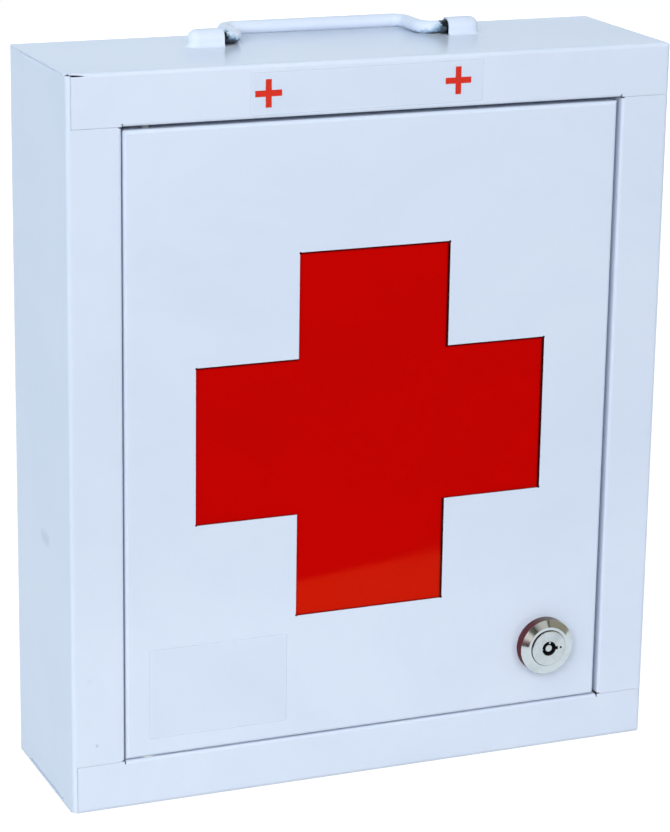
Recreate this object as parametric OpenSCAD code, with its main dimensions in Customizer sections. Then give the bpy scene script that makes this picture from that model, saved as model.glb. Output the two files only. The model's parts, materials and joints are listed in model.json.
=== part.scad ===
// Lockable first-aid cabinet for a wall or a shelf.
// The case is folded from sheet steel: one wrapper makes the top, the lock side, the bottom and
// most of the front frame, a separate side panel closes the hinge side, and a pan closes the back.
// The door is a folded pan that turns on two hidden pivot pins. Its cross is a cut-out with a red
// window sheet behind it. A cam lock holds it to a stop lip, and a wire bail handle turns in two
// sockets pressed up from the top.
// Millimetres. X is to the right, Y to the wall, Z up. The origin is the middle of the bottom face.

/* [Case] */
// Width of the case
case_w = 260; // [240:1:400]
// Height of the case without the handle
case_h = 305; // [285:1:450]
// Depth of the case without the lock
case_d = 75; // [68:1:140]
// Thickness of the sheet steel
sheet_t = 0.8; // [0.6:0.1:1]
// Outside radius of the large case bends
case_bend_r = 1.7; // [1.6:0.1:3.4]
// Outside radius of the small folds
fold_r = 1.2; // [1.1:0.1:1.6]
// Width of the open seam where two flanges of the front meet
seam_gap = 0.1; // [0.1:0.05:0.6]
// Flat of the hinge-side panel that turns round the front corner beside the header and the rail
corner_lip = 0.2; // [0.2:0.1:2]
// Depth of the relief notch at the two hinge-side corners of the wrapper
corner_relief = 3.4; // [2.8:0.1:6]
// Length of the open fold that runs from the upper relief notch along the top's front edge
open_fold_l = 10; // [4:0.5:20]
// Depth of that open fold beside the notch
open_fold_d = 2; // [0.6:0.1:2.6]

/* [Front frame] */
// Height of the header above the opening
header_h = 21.5; // [18:0.5:40]
// Height of the rail below the opening
rail_h = 20.4; // [16:0.2:40]
// Width of the stile on the hinge side
hinge_stile_w = 22.2; // [16:0.2:40]
// Width of the stile on the lock side
lock_stile_w = 21.5; // [18:0.5:40]
// Depth of the folded returns round the opening
return_d = 10; // [8:0.5:12]
// Length of the notch that parts two returns at a corner of the opening
return_notch = 0.6; // [0.5:0.1:3]
// Width of the stop lip that the cam locks behind
stop_lip_w = 8; // [6:0.5:9]
// Gap between the closed door and the stop lip
stop_gap = 0.3; // [0.2:0.1:0.6]

/* [Door] */
// Gap at the hinge edge of the door
gap_hinge = 0.8; // [0.8:0.1:2]
// Gap at the lock edge of the door
gap_lock = 1.9; // [0.8:0.1:2.5]
// Gap above the door
gap_top = 1.6; // [0.8:0.1:2.5]
// Gap below the door
gap_bottom = 0.5; // [0.4:0.1:2]
// Distance of the door's face behind the front frame
door_set_back = 0.4; // [0:0.1:1.5]
// Depth of the door's folded edges
door_flange_d = 12; // [10:0.5:14]
// Outside radius of the folds round the door's face
door_bend_r = 1.5; // [1.2:0.1:2.5]

/* [Hinge] */
// Distance of the hinge axis from the hinge edge of the door
pivot_in = 10; // [9:0.5:14]
// Distance of the hinge axis behind the door's face
pivot_back = 4.6; // [4.4:0.1:5]
// Diameter of the pivot pins
pin_d = 3.6; // [3:0.1:4]
// Diameter of the pivot pin heads
pin_head_d = 7; // [6:0.5:9]
// Thickness of the pivot pin heads
pin_head_t = 1.5; // [1:0.1:2.5]
// Length of pin that shows past the pivot plate
pin_past = 1.6; // [1:0.1:3]
// Radial clearance of the door on its pins
pin_clear = 0.08; // [0.02:0.01:0.1]
// Thickness of the pivot plates
plate_t = 1.6; // [1.2:0.1:2.5]
// Length of the pivot plates along the door
plate_l = 18; // [12:1:30]
// Depth of the pivot plates behind the hinge axis
plate_behind = 5.5; // [4:0.5:6.5]
// Diameter of the washer that carries the door
washer_d = 7.2; // [6.4:0.1:8]

/* [Cross window] */
// Overall size of the cross
cross_size = 154; // [80:1:170]
// Width of the arms of the cross
cross_arm_w = 66; // [30:1:70]
// Radius of the relief at the corners of the cross
cross_relief_r = 0.5; // [0.4:0.1:1.5]
// Thickness of the red window sheet
window_t = 2; // [1:0.1:3]
// How far the window sheet reaches past the cross
window_margin = 8; // [5:0.5:12]
// Distance of the studs inside the outer edges of the cross
stud_inset = 8; // [6:0.5:12]
// Diameter of the welded studs
stud_d = 3; // [2.5:0.5:4]
// Clearance round the studs in the window sheet and the nuts
stud_clear = 0.2; // [0.1:0.05:0.5]
// Thickness of the washers on the studs
stud_washer_t = 0.6; // [0.4:0.1:1]
// Height of the nuts on the studs
stud_nut_h = 2.4; // [2:0.1:3.2]

/* [Lock] */
// Distance of the lock's axis from the lock edge of the door
lock_in = 25.6; // [20:0.1:28]
// Height of the lock's axis above the bottom edge of the door
lock_up = 26.6; // [20:0.2:31]
// Diameter of the lock's bezel
bezel_d = 24.4; // [22.4:0.1:26]
// Height of the bezel's straight rim
bezel_rim_h = 4.6; // [2:0.1:4.8]
// Height of the whole bezel
bezel_h = 6.2; // [5:0.1:7]
// Diameter of the bezel's flat top
bezel_top_d = 18.6; // [17.6:0.1:20]
// Diameter of the barrel behind the door
barrel_d = 18.6; // [17.6:0.1:19.4]
// Size across the barrel's two flats
barrel_flats = 16; // [15:0.1:17]
// Length of the barrel behind the door's face
barrel_l = 12.6; // [12.4:0.1:16]
// Diameter of the plug's head
plug_head_d = 15.8; // [15:0.1:16.4]
// Height of the plug's head
plug_head_h = 3.6; // [2.5:0.1:4]
// Diameter of the plug
plug_d = 12.4; // [11.6:0.1:13]
// Radial clearance of the plug in the barrel
plug_clear = 0.1; // [0.05:0.01:0.1]
// How far the plug's face stands out of the bezel's top
plug_proud = 0.7; // [0:0.1:1.2]
// Diameter of the round keyway
keyway_d = 6.4; // [5.6:0.1:7.6]
// Depth of the round keyway
keyway_depth = 4.2; // [3:0.1:6]
// Diameter of the post in the keyway
key_post_d = 3; // [2.4:0.1:3.4]
// Number of tumbler pins in the keyway
pin_count = 7; // [5:1:7]
// Diameter of the tumbler pins
tumbler_d = 1.1; // [0.9:0.1:1.2]
// Clearance between the lock nut or a hole and the barrel
barrel_clear = 0.2; // [0.1:0.05:0.4]
// Size across the flats of the lock nut
lock_nut_af = 23; // [22:0.5:24]
// Height of the lock nut
lock_nut_h = 3.6; // [3:0.1:4.5]
// Thickness of the toothed washer under the lock nut
lock_washer_t = 0.8; // [0.6:0.1:1.2]
// Thickness of the stop washer
stop_washer_t = 0.9; // [0.7:0.1:1.2]
// Gap between the barrel's end and the pieces that turn on the plug
turn_gap = 0.15; // [0.1:0.05:0.3]
// Thickness of the cam
cam_t = 2; // [1.6:0.1:2.6]
// Width of the cam's arm
cam_w = 12; // [10:0.5:13]
// Reach of the cam from the lock's axis
cam_reach = 25; // [22:0.5:26]
// Angle that the plug turns through
lock_turn = 90; // [90:1:90]

/* [Handle] */
// Diameter of the handle's wire
wire_d = 5.5; // [4.5:0.1:6.5]
// Distance between the legs of the handle
handle_span = 81.5; // [72:0.5:82]
// Reach of the grip from the turning axis
handle_reach = 23; // [18:0.2:23.4]
// Centreline radius of the handle's bends
wire_bend_r = 6; // [5:0.5:8]
// Length of each end of the wire from its leg
handle_end_l = 17; // [15:0.5:17.5]
// Sideways place of the handle in its play between the sockets
handle_slide = -1.2; // [-1.6:0.1:1.6]
// Place of the turning axis in front of the middle of the case, negative towards the wall
handle_forward = -10.5; // [-11:0.5:2]
// Gap between the lying handle and the top
handle_lift = 0.2; // [0.2:0.05:0.4]
// Distance between the mouths of the sockets
socket_span = 99; // [98:1:106]
// Length of each socket's straight tunnel
socket_l = 10.5; // [10.5:0.5:24]
// Clearance round the wire in its socket
socket_clear = 0.5; // [0.15:0.05:0.6]
// Radius where a socket flares into the top
socket_flare_r = 1.6; // [0.8:0.1:2.5]

/* [Inside] */
// Height of the lower shelf's upper face
lower_shelf_z = 101; // [80:1:130]
// Height of the upper shelf's upper face
upper_shelf_z = 201; // [180:1:240]
// Distance of the shelves' front edges behind the front of the case
shelf_back = 27; // [26:0.5:40]
// Height of the fold along a shelf's front edge
shelf_fold_h = 8; // [6:0.5:12]
// Side clearance of a shelf beside the back panel's folds
shelf_clear = 0.6; // [0.3:0.1:1.5]
// Length of the legs of the shelf brackets
bracket_leg = 8; // [6:0.5:14]
// Length of the shelf brackets from front to back
bracket_l = 32; // [20:1:34]

/* [Back and wall fixing] */
// Clearance of the back panel in the case
back_clear = 0.2; // [0.1:0.05:0.4]
// Depth of the back panel's folded edges
back_flange_d = 10; // [8:0.5:12]
// Distance between the two wall holes of a row
wall_hole_span = 160; // [100:1:200]
// Distance of the keyholes below the top of the case
keyhole_down = 40; // [25:1:60]
// Diameter of a keyhole's round end
keyhole_d = 9; // [8:0.5:11]
// Width of a keyhole's slot
keyhole_slot_w = 4.8; // [4:0.1:6]
// Length of a keyhole's slot between its centres
keyhole_slot_l = 9; // [7:0.5:12]
// Height of the lower wall holes
wall_hole_up = 30; // [20:1:60]
// Diameter of the lower wall holes
wall_hole_d = 5; // [4:0.1:6.5]

/* [Hidden] */
$fn = 64;

// A cut runs this far past what it cuts
over = 1;
// A hole that only takes a pin or a screw is this much wider than it
slip = 0.1;

paint = [0.86, 0.89, 0.95];
window_red = [0.76, 0.02, 0.02];
chrome = [0.8, 0.8, 0.78];
zinc = [0.68, 0.69, 0.7];
nylon = [0.9, 0.9, 0.86];

// The case's faces
left_x = -case_w / 2;
right_x = case_w / 2;
front_y = -case_d / 2;
back_y = case_d / 2;

// The opening in the front frame
open_left = left_x + hinge_stile_w;
open_right = right_x - lock_stile_w;
open_bottom = rail_h;
open_top = case_h - header_h;
lip_end = left_x + case_bend_r + corner_lip;
open_fold_z = case_h - 0.75 * case_bend_r;

// The side panel's welding flanges, and how far they stay clear of its corners
side_flange_w = 12;
side_flange_clear = 14;

// The door's outline
door_left = open_left + gap_hinge;
door_right = open_right - gap_lock;
door_bottom = open_bottom + gap_bottom;
door_top = open_top - gap_top;
door_front = front_y + door_set_back;
door_back = door_front + door_flange_d;
door_inner = door_front + sheet_t;
door_mid_x = (door_left + door_right) / 2;
door_mid_z = (door_bottom + door_top) / 2;

// The stop lip, the hinge axis and the lock's axis
stop_front = door_back + stop_gap;
stop_left = open_right - stop_lip_w;
pivot_x = door_left + pivot_in;
pivot_y = door_front + pivot_back;
lock_x = door_right - lock_in;
lock_z = door_bottom + lock_up;

// The window's studs sit in the square corners that the cross leaves
stud_off = cross_size / 2 - stud_inset;
window_half = cross_size / 2 + window_margin;
window_back = door_inner + window_t;

// The window is cut back round the lock's nut, where the two come near each other
window_lock_clear = 1.5;
window_lock_r = lock_nut_af / (2 * cos(30)) + window_lock_clear;

// The lock's stations along its axis, measured from the door's face, out of the door positive
plug_face = bezel_h + plug_proud;
plug_seat = plug_face - plug_head_h;
barrel_end = -barrel_l;
stop_washer_front = barrel_end - turn_gap;
cam_front = stop_washer_front - stop_washer_t;
cam_back = cam_front - cam_t;

// The square post at the plug's rear, a little shorter than its stack, and the screw in its deeper hole
plug_post = 7;
plug_post_short = 0.2;
plug_post_end = cam_back + plug_post_short;
screw_d = 4;
screw_l = 9;
screw_spare = 0.5;
screw_head_d = 7.6;
screw_head_h = 2.4;

// The stop washer's hub, the angle of its tab, and the lug that stops it
stop_hub_r = plug_d / 2 + plug_clear + 0.4;
stop_tab = 40;
stop_play = 2;
barrel_in_r = stop_hub_r + 2 * slip;

// The cam's hub and its corners
cam_hub_r = 8;
cam_corner_r = 3;

// The keyway's floor, and the tumbler pins that stand up from their bores in it
keyway_floor = plug_face - keyway_depth;
tumbler_bore = 3;
tumbler_l = 3.6;
tumbler_up = 0.7;

// The handle's axis
wire_r = wire_d / 2;
handle_y = -handle_forward;
handle_z = case_h + handle_lift + wire_r;
socket_in_r = wire_r + socket_clear;
socket_out_r = socket_in_r + sheet_t;
socket_nose_x = socket_span / 2 + socket_l;

// The shelves
shelf_front = front_y + shelf_back;
shelf_left = left_x + 2 * sheet_t + shelf_clear;
shelf_rear = back_y - sheet_t - shelf_clear;
bracket_in = 2;
bracket_front = shelf_front + bracket_in;

// The pivot plates' clearances from the door's bends and edge, their corners, and the pins' tips
plate_front = door_front + door_bend_r + 0.2;
plate_left = door_left + sheet_t + 0.4;
plate_corner_r = 2;
pin_tip = 0.6;

// The window sheet's corners and the studs with what sits on them
window_corner_r = 3;
stud_past = 1.2;
stud_tip = 0.4;
stud_washer_d = 2.4 * stud_d;
stud_nut_af = 1.8 * stud_d;

// ---- Profiles and directions ----

// Extrude a drawing of Y and Z from one X to another
module along_x(from, to) {
    translate([from, 0, 0])
        rotate([90, 0, 90])
            linear_extrude(to - from)
                children();
}

// Extrude a drawing of X and Z from one Y to another
module along_y(from, to) {
    translate([0, to, 0])
        rotate([90, 0, 0])
            linear_extrude(to - from)
                children();
}

// Extrude a drawing of X and Y from one Z to another
module along_z(from, to) {
    translate([0, 0, from])
        linear_extrude(to - from)
            children();
}

// A box between two corners
module block(lo, hi) {
    translate(lo)
        cube(hi - lo);
}

// What a round of radius r takes off a corner at the origin
module corner_waste(r) {
    difference() {
        translate([-over, -over])
            square(r + over);
        translate([r, r])
            circle(r);
    }
}

// A rectangle with rounds at the corners that are asked for: each is [at high x, at high y]
module plate(lo, hi, r, corners) {
    difference() {
        translate(lo)
            square(hi - lo);
        for (c = corners) {
            translate([c[0] ? hi[0] : lo[0], c[1] ? hi[1] : lo[1]])
                mirror([c[0], 0])
                    mirror([0, c[1]])
                        corner_waste(r);
        }
    }
}

// The section of a sheet that turns a right angle from +y to +x round the origin's corner
module fold_section(r, run) {
    translate([r, r])
        intersection() {
            difference() {
                circle(r);
                circle(r - sheet_t);
            }
            translate([-r, -r])
                square(r);
        }
    translate([r, 0])
        square([run - r, sheet_t]);
}

// The same section drawn the other way up, from +x to +y
module fold_section_up(r, run) {
    mirror([1, -1])
        fold_section(r, run);
}

// A ring along the hinge axis or any upright axis
module ring(d_out, d_in, h) {
    difference() {
        cylinder(d = d_out, h = h);
        translate([0, 0, -over])
            cylinder(d = d_in, h = h + 2 * over);
    }
}

// ---- The case ----

// The wrapper's outside, or its inside when inset by the sheet
module case_block(inset) {
    r = case_bend_r - inset;
    spare = inset > 0 ? over : 0;
    low = [left_x - spare, front_y + inset, inset];
    high = [right_x - inset, back_y + spare, case_h - inset];
    intersection() {
        along_y(front_y - over, back_y + 2 * over)
            plate([low[0], low[2]], [high[0], high[2]], r, [[1, 0], [1, 1]]);
        along_x(left_x - 2 * over, right_x + over)
            plate([low[1], low[2]], [high[1], high[2]], r, [[0, 0], [0, 1]]);
        along_z(-over, case_h + over)
            plate([low[0], low[1]], [high[0], high[1]], r, [[1, 0]]);
    }
}

// Everything that is cut from the wrapper's front
module front_cuts() {
    cut_front = front_y - over;
    cut_back = front_y + sheet_t + over / 2;
    // the opening, up to where the folds of the header and the rail start
    block([open_left, cut_front, open_bottom - fold_r], [open_right, cut_back, open_top + fold_r]);
    // the fold of the lock-side stile
    block([open_right - over, cut_front, open_bottom], [open_right + fold_r, cut_back, open_top]);
    // the place of the hinge-side stile
    block([left_x - over, cut_front, open_bottom], [open_left + over, cut_back, open_top]);
    // the open seams at both ends of the lock-side stile
    for (z = [open_bottom, open_top - seam_gap]) {
        block([open_right, cut_front, z], [right_x - case_bend_r, cut_back, z + seam_gap]);
    }
    // the corner that the hinge-side panel fills, with its relief
    block(
        [left_x - over, cut_front, -over],
        [lip_end + seam_gap, front_y + corner_relief, case_h + over]
    );
    // the open fold, which runs out to nothing
    along_z(open_fold_z, case_h + over)
        polygon([
            [lip_end, front_y - over], [lip_end + open_fold_l, front_y - over],
            [lip_end + open_fold_l, front_y], [lip_end, front_y + open_fold_d]
        ]);
}

// The section of a socket's wall, with its flare
module socket_section() {
    difference() {
        union() {
            translate([0, handle_z])
                circle(socket_out_r);
            translate([-socket_out_r, case_h])
                square([2 * socket_out_r, handle_z - case_h]);
            for (side = [0, 1]) {
                mirror([side, 0])
                    translate([socket_out_r, case_h])
                        difference() {
                            square(socket_flare_r);
                            translate([socket_flare_r, socket_flare_r])
                                circle(socket_flare_r);
                        }
            }
        }
        translate([0, handle_z])
            circle(socket_in_r);
        translate([-socket_in_r, case_h - over])
            square([2 * socket_in_r, handle_z - case_h + over]);
        // nothing of the section lies below the top
        translate([-2 * socket_out_r, case_h - 2 * socket_out_r])
            square([4 * socket_out_r, 2 * socket_out_r]);
    }
}

// One socket on the +X side: a tunnel with a round nose
module socket() {
    translate([0, handle_y, 0])
        along_x(socket_span / 2, socket_nose_x)
            socket_section();
    translate([socket_nose_x, handle_y, 0])
        rotate([0, 0, -90])
            rotate_extrude(angle = 180)
                intersection() {
                    socket_section();
                    translate([0, case_h])
                        square([2 * socket_out_r + socket_flare_r, 4 * socket_out_r]);
                }
}

// The slot in the top under one socket, from which its metal was drawn
module socket_slot() {
    depth = [case_h - sheet_t - over, case_h + over / 4];
    block(
        [socket_span / 2, handle_y - socket_in_r, depth[0]],
        [socket_nose_x, handle_y + socket_in_r, depth[1]]
    );
    translate([socket_nose_x, handle_y, depth[0]])
        cylinder(r = socket_in_r, h = depth[1] - depth[0]);
}

// The deep return of the lock-side stile, which ends in the stop lip
module stop_return() {
    outer_x = open_right + sheet_t;
    outer_y = stop_front + sheet_t;
    along_z(open_bottom + return_notch, open_top - return_notch) {
        translate([open_right, front_y])
            fold_section_up(fold_r, outer_y - front_y - fold_r);
        translate([outer_x, outer_y])
            mirror([1, 0])
                mirror([0, 1])
                    fold_section(fold_r, outer_x - stop_left);
    }
}

module wrapper_shell() {
    color(paint)
        difference() {
            union() {
                difference() {
                    case_block(0);
                    case_block(sheet_t);
                    front_cuts();
                    for (side = [0, 1]) {
                        mirror([side, 0, 0])
                            socket_slot();
                    }
                }
                // header and rail returns
                along_x(open_left + return_notch, open_right - return_notch) {
                    translate([front_y, open_top])
                        fold_section(fold_r, return_d);
                    translate([front_y, open_bottom])
                        mirror([0, 1])
                            fold_section(fold_r, return_d);
                }
                stop_return();
                for (side = [0, 1]) {
                    mirror([side, 0, 0])
                        socket();
                }
            }
            // holes for the pivot pins in both returns
            translate([pivot_x, pivot_y, open_bottom - sheet_t - over])
                cylinder(d = pin_d + slip, h = sheet_t + 2 * over);
            translate([pivot_x, pivot_y, open_top - over])
                cylinder(d = pin_d + slip, h = sheet_t + 2 * over);
        }
}

// One of the side panel's inner flanges, which is welded under the top
module side_flange() {
    along_y(front_y + side_flange_clear, back_y - side_flange_clear)
        translate([left_x, case_h - sheet_t])
            mirror([0, 1])
                fold_section(fold_r, side_flange_w);
}

module left_side_panel() {
    color(paint) {
        // side sheet, front corner and its narrow lip, over the full height
        difference() {
            along_z(sheet_t, case_h - sheet_t) {
                translate([left_x, front_y])
                    fold_section(case_bend_r, case_bend_r + corner_lip);
                translate([left_x, front_y + case_bend_r])
                    square([sheet_t, case_d - case_bend_r]);
            }
            // the places of the folds of both welding flanges
            for (z = [sheet_t - over, case_h - sheet_t - fold_r]) {
                block(
                    [left_x - over, front_y + side_flange_clear, z],
                    [left_x + 2 * sheet_t, back_y - side_flange_clear, z + fold_r + over]
                );
            }
        }
        side_flange();
        translate([0, 0, case_h])
            mirror([0, 0, 1])
                side_flange();
        // stile
        block(
            [lip_end, front_y, open_bottom + seam_gap],
            [open_left - fold_r, front_y + sheet_t, open_top - seam_gap]
        );
        along_z(open_bottom + return_notch, open_top - return_notch)
            translate([open_left, front_y])
                mirror([1, 0])
                    fold_section_up(fold_r, return_d);
    }
}

// The back pan's outside, or its inside when inset
module back_block(inset) {
    grow = inset > 0 ? over : 0;
    r = fold_r + sheet_t - inset;
    gap = sheet_t + back_clear + inset;
    low = [left_x + gap, back_y - back_flange_d - grow, gap];
    high = [right_x - gap, back_y - inset, case_h - gap];
    intersection() {
        along_x(left_x, right_x)
            plate([low[1], low[2]], [high[1], high[2]], r, [[1, 0], [1, 1]]);
        along_z(0, case_h)
            plate([low[0], low[1]], [high[0], high[1]], r, [[0, 1], [1, 1]]);
        along_y(low[1] - over, back_y + over)
            plate([low[0], low[2]], [high[0], high[2]], case_bend_r, [[0, 0], [0, 1], [1, 0], [1, 1]]);
    }
}

module keyhole() {
    circle(d = keyhole_d);
    translate([-keyhole_slot_w / 2, 0])
        square([keyhole_slot_w, keyhole_slot_l]);
    translate([0, keyhole_slot_l])
        circle(d = keyhole_slot_w);
}

module back_panel() {
    color(paint)
        difference() {
            back_block(0);
            back_block(sheet_t);
            along_y(back_y - sheet_t - over, back_y + over)
                for (side = [-1, 1]) {
                    translate([side * wall_hole_span / 2, case_h - keyhole_down])
                        keyhole();
                    translate([side * wall_hole_span / 2, wall_hole_up])
                        circle(d = wall_hole_d);
                }
        }
}

// ---- Shelves ----

// A shelf whose upper face is at z = 0
module shelf() {
    color(paint)
        along_x(shelf_left, -shelf_left) {
            translate([shelf_front, 0])
                mirror([0, 1])
                    fold_section(fold_r, shelf_rear - shelf_front);
            translate([shelf_front, -shelf_fold_h])
                square([sheet_t, shelf_fold_h - fold_r]);
        }
}

// The pair of angle brackets under a shelf
module shelf_brackets() {
    color(paint)
        for (side = [0, 1]) {
            mirror([side, 0, 0])
                along_y(bracket_front, bracket_front + bracket_l)
                    translate([left_x + sheet_t, -sheet_t])
                        mirror([0, 1]) {
                            fold_section(fold_r, bracket_leg);
                            translate([0, fold_r])
                                square([sheet_t, bracket_leg - fold_r]);
                        }
        }
}

module upper_shelf() {
    translate([0, 0, upper_shelf_z])
        shelf();
}

module lower_shelf() {
    translate([0, 0, lower_shelf_z])
        shelf();
}

module upper_shelf_brackets() {
    translate([0, 0, upper_shelf_z])
        shelf_brackets();
}

module lower_shelf_brackets() {
    translate([0, 0, lower_shelf_z])
        shelf_brackets();
}

// ---- Hinge ----

// A pivot pin that points up, with its head's shoulder at z = 0
module pivot_pin(gap) {
    length = sheet_t + gap + sheet_t + plate_t + pin_past;
    color(zinc) {
        translate([0, 0, -pin_head_t])
            cylinder(d = pin_head_d, h = pin_head_t);
        cylinder(d = pin_d, h = length - pin_tip);
        translate([0, 0, length - pin_tip])
            cylinder(d1 = pin_d, d2 = pin_d - 2 * pin_tip, h = pin_tip);
    }
}

module upper_hinge_pin() {
    translate([pivot_x, pivot_y, open_top + sheet_t])
        mirror([0, 0, 1])
            pivot_pin(gap_top);
}

module lower_hinge_pin() {
    translate([pivot_x, pivot_y, open_bottom - sheet_t])
        pivot_pin(gap_bottom);
}

module pivot_washer() {
    color(nylon)
        translate([pivot_x, pivot_y, open_bottom])
            ring(washer_d, pin_d + 2 * pin_clear, gap_bottom - slip);
}

// A plate that lies on the inside of a door fold, from z = 0 up
module pivot_plate() {
    low = [plate_left, plate_front];
    high = [plate_left + plate_l, pivot_y + plate_behind];
    color(zinc)
        along_z(0, plate_t)
            difference() {
                plate(low, high, plate_corner_r, [[0, 1], [1, 1], [1, 0]]);
                translate([pivot_x, pivot_y])
                    circle(d = pin_d + 2 * pin_clear);
            }
}

module upper_pivot_plate() {
    translate([0, 0, door_top - sheet_t - plate_t])
        pivot_plate();
}

module lower_pivot_plate() {
    translate([0, 0, door_bottom + sheet_t])
        pivot_plate();
}

// ---- Door ----

// The door's outside, or its inside when inset
module door_block(inset) {
    grow = inset > 0 ? over : 0;
    r = door_bend_r - inset;
    low = [door_left + inset, door_front + inset, door_bottom + inset];
    high = [door_right - inset, door_back + grow, door_top - inset];
    intersection() {
        along_x(low[0], high[0])
            plate([low[1], low[2]], [high[1], high[2]], r, [[0, 0], [0, 1]]);
        along_z(low[2], high[2])
            plate([low[0], low[1]], [high[0], high[1]], r, [[0, 0], [1, 0]]);
    }
}

// The cross, drawn about its centre, with a small relief at its outer corners
module cross_outline() {
    long = cross_size;
    wide = cross_arm_w;
    square([long, wide], center = true);
    square([wide, long], center = true);
    for (turn = [0:90:270], side = [-1, 1]) {
        rotate(turn)
            translate([long / 2 - cross_relief_r / 2, side * (wide / 2 - cross_relief_r / 2)])
                circle(cross_relief_r);
    }
}

// Two-flat hole or barrel section
module flatted_circle(d, flats) {
    intersection() {
        circle(d = d);
        square([d + over, flats], center = true);
    }
}

module door_panel() {
    slit = sheet_t + 2 * slip;
    slit_front = door_front + door_bend_r + 0.5;
    color(paint)
        difference() {
            door_block(0);
            door_block(sheet_t);
            along_y(door_front - over, door_inner + over / 2) {
                translate([door_mid_x, door_mid_z])
                    cross_outline();
                translate([lock_x, lock_z])
                    flatted_circle(barrel_d + 2 * barrel_clear, barrel_flats + 2 * barrel_clear);
            }
            // pivot holes
            for (z = [door_bottom, door_top - sheet_t]) {
                translate([pivot_x, pivot_y, z - over])
                    cylinder(d = pin_d + 2 * pin_clear, h = sheet_t + 2 * over);
            }
            // the folds meet edge to edge, with an open corner
            for (x = [door_left - over, door_right - slit], z = [door_bottom - over, door_top - slit]) {
                block(
                    [x, slit_front, z],
                    [x + slit + over, door_back + over, z + slit + over]
                );
            }
        }
}

// ---- Cross window ----

// Copies to the four studs, turned so that +Z runs to the back of the cabinet
module at_studs(y) {
    for (sx = [-1, 1], sz = [-1, 1]) {
        translate([door_mid_x + sx * stud_off, y, door_mid_z + sz * stud_off])
            rotate([-90, 0, 0])
                children();
    }
}

module window_sheet() {
    color(window_red)
        difference() {
            along_y(door_inner, window_back)
                translate([door_mid_x, door_mid_z])
                    plate(
                        [-window_half, -window_half], [window_half, window_half],
                        window_corner_r, [[0, 0], [0, 1], [1, 0], [1, 1]]
                    );
            at_studs(door_inner - over)
                cylinder(d = stud_d + 2 * stud_clear, h = window_t + 2 * over);
            translate([lock_x, door_inner - over, lock_z])
                rotate([-90, 0, 0])
                    cylinder(r = window_lock_r, h = window_t + 2 * over);
        }
}

module window_studs() {
    length = window_t + stud_washer_t + stud_nut_h + stud_past;
    color(zinc)
        at_studs(door_inner) {
            cylinder(d = stud_d, h = length - stud_tip);
            translate([0, 0, length - stud_tip])
                cylinder(d1 = stud_d, d2 = stud_d - 2 * stud_tip, h = stud_tip);
        }
}

module window_washers() {
    color(zinc)
        at_studs(window_back)
            ring(stud_washer_d, stud_d + 2 * stud_clear, stud_washer_t);
}

module window_nuts() {
    color(zinc)
        at_studs(window_back + stud_washer_t)
            difference() {
                cylinder(d = stud_nut_af / cos(30), h = stud_nut_h, $fn = 6);
                translate([0, 0, -over])
                    cylinder(d = stud_d + slip, h = stud_nut_h + 2 * over);
            }
}

// ---- Lock ----

// The lock's own frame: z = 0 on the door's face, +z out of the door, +y up
module at_lock() {
    translate([lock_x, door_front, lock_z])
        rotate([90, 0, 0])
            children();
}

module lock_barrel() {
    bore_r = plug_d / 2 + plug_clear;
    seat_r = plug_head_d / 2 + plug_clear;
    rim_r = bezel_d / 2;
    edge = 0.3;
    color(chrome)
        at_lock() {
            difference() {
                union() {
                    rotate_extrude()
                        polygon([
                            [bore_r, 0], [rim_r - edge, 0], [rim_r, edge], [rim_r, bezel_rim_h],
                            [bezel_top_d / 2, bezel_h], [bore_r, bezel_h]
                        ]);
                    translate([0, 0, barrel_end])
                        linear_extrude(barrel_l)
                            difference() {
                                flatted_circle(barrel_d, barrel_flats);
                                circle(bore_r);
                            }
                }
                translate([0, 0, plug_seat - plug_clear])
                    cylinder(r = seat_r, h = plug_head_h + 2 * over);
            }
            // the lug behind the barrel that stops the washer's tab at both ends of its turn
            translate([0, 0, barrel_end - stop_washer_t])
                rotate(90 + stop_tab / 2)
                    rotate_extrude(angle = 360 - lock_turn - stop_tab - stop_play)
                        translate([barrel_in_r, 0])
                            square([barrel_flats / 2 - barrel_in_r, stop_washer_t]);
        }
}

module lock_washer() {
    teeth = 10;
    tooth_d = 0.8;
    tooth_w = 1.4;
    color(zinc)
        at_lock()
            translate([0, 0, -sheet_t - lock_washer_t])
                linear_extrude(lock_washer_t)
                    difference() {
                        circle(d = lock_nut_af);
                        circle(d = barrel_d + 2 * barrel_clear);
                        for (i = [0 : teeth - 1]) {
                            rotate(i * 360 / teeth)
                                translate([lock_nut_af / 2 - tooth_d, -tooth_w / 2])
                                    square([tooth_d + over, tooth_w]);
                        }
                    }
}

module lock_nut() {
    color(zinc)
        at_lock()
            translate([0, 0, -sheet_t - lock_washer_t - lock_nut_h])
                difference() {
                    cylinder(d = lock_nut_af / cos(30), h = lock_nut_h, $fn = 6);
                    translate([0, 0, -over])
                        cylinder(d = barrel_d + 2 * barrel_clear, h = lock_nut_h + 2 * over);
                }
}

// Copies at the tumbler pins, which ring the key post
module at_tumblers() {
    ring_r = (keyway_d + key_post_d) / 4;
    for (i = [0 : pin_count - 1]) {
        rotate((i + 0.5) * 360 / pin_count)
            translate([ring_r, 0, 0])
                children();
    }
}

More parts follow.
